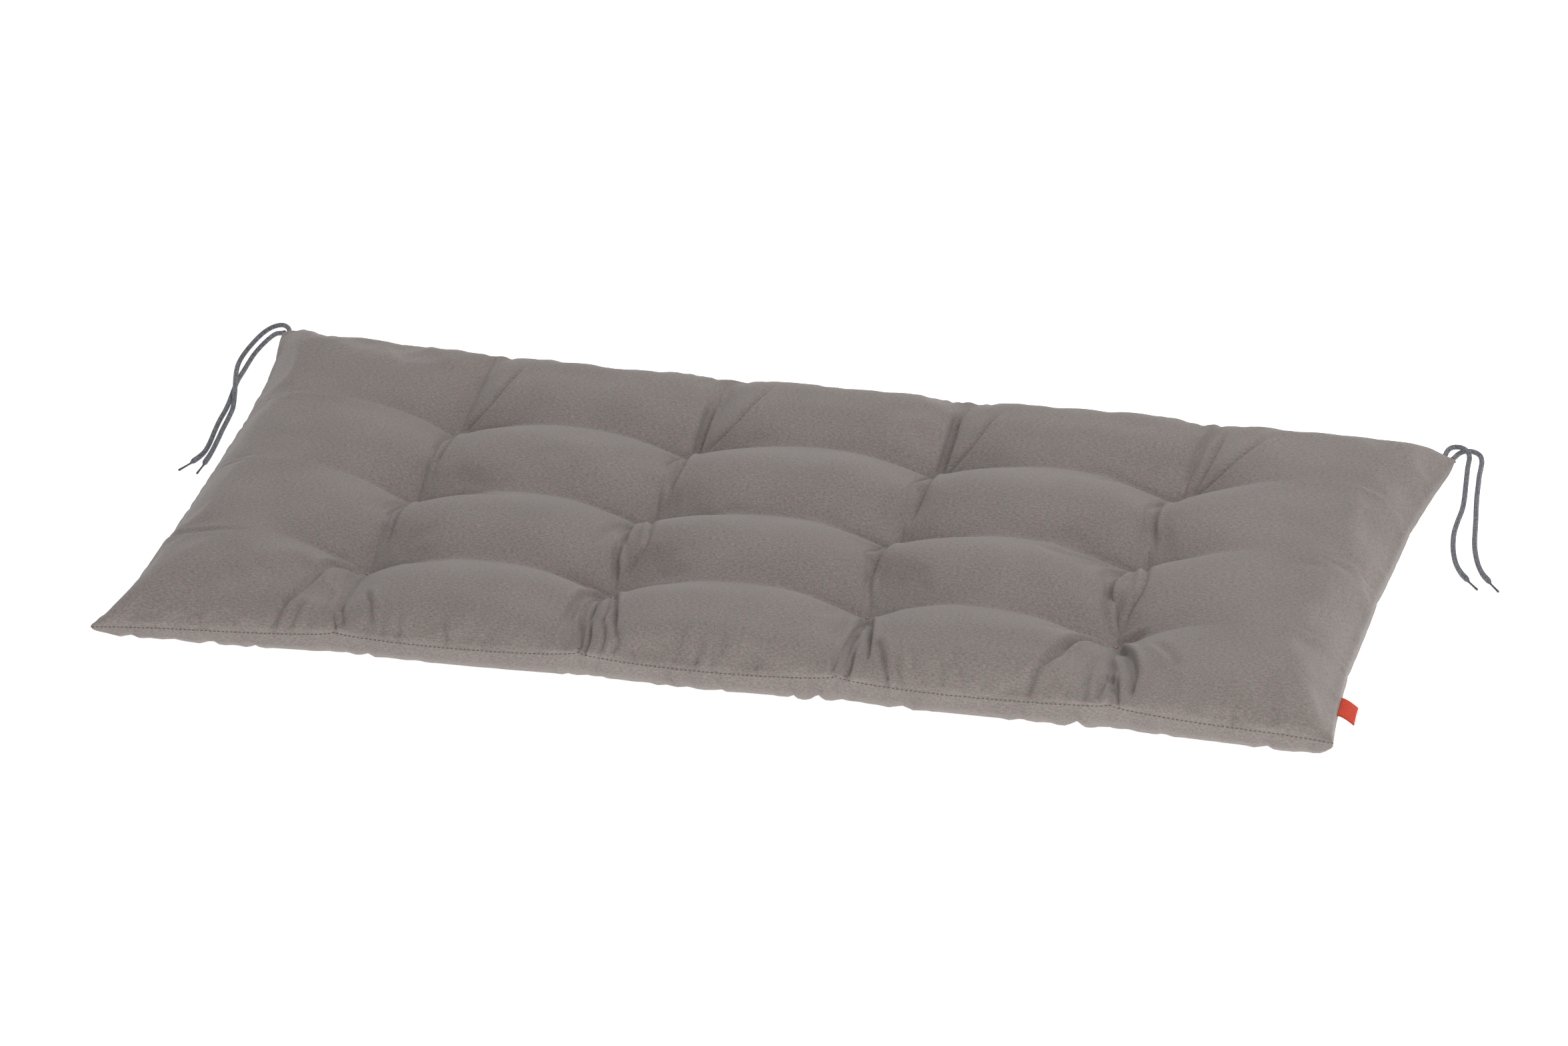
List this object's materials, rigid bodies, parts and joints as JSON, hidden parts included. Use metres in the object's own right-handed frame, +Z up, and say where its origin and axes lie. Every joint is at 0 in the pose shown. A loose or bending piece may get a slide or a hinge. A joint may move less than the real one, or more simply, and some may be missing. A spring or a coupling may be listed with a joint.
{
  "type": "bench cushion",
  "caption": "Long flat bench seat cushion in grey melange weave, tufted in a grid so its face swells into pillows, with a knife-edge seam, braided corner ties and a bare side tag.",
  "frame": {"origin": "on the floor under the middle of the cushion, on its flat underside", "axes": "+X along the bench to the viewer's right, +Y to the back of the seat where the ties are, +Z up out of the tufted face"},
  "size_m": [1.2248, 0.5027, 0.0617],
  "materials": {
    "melange_weave": "warm grey melange plain weave, matt",
    "braided_lace": "round braided lace, blue grey with light and dark flecks",
    "dark_plastic": "smooth dark grey lace tip",
    "tag_tape": "orange red woven tape, satin"
  },
  "bodies": {
    "root": {"cushion": "melange_weave", "side_tag": "tag_tape", "tie_left_rear": "braided_lace", "tie_left_front": "braided_lace", "tie_right_front": "braided_lace", "tie_right_rear": "braided_lace", "tip_left_rear": "dark_plastic", "tip_left_front": "dark_plastic", "tip_right_front": "dark_plastic", "tip_right_rear": "dark_plastic"}
  },
  "joints": []
}
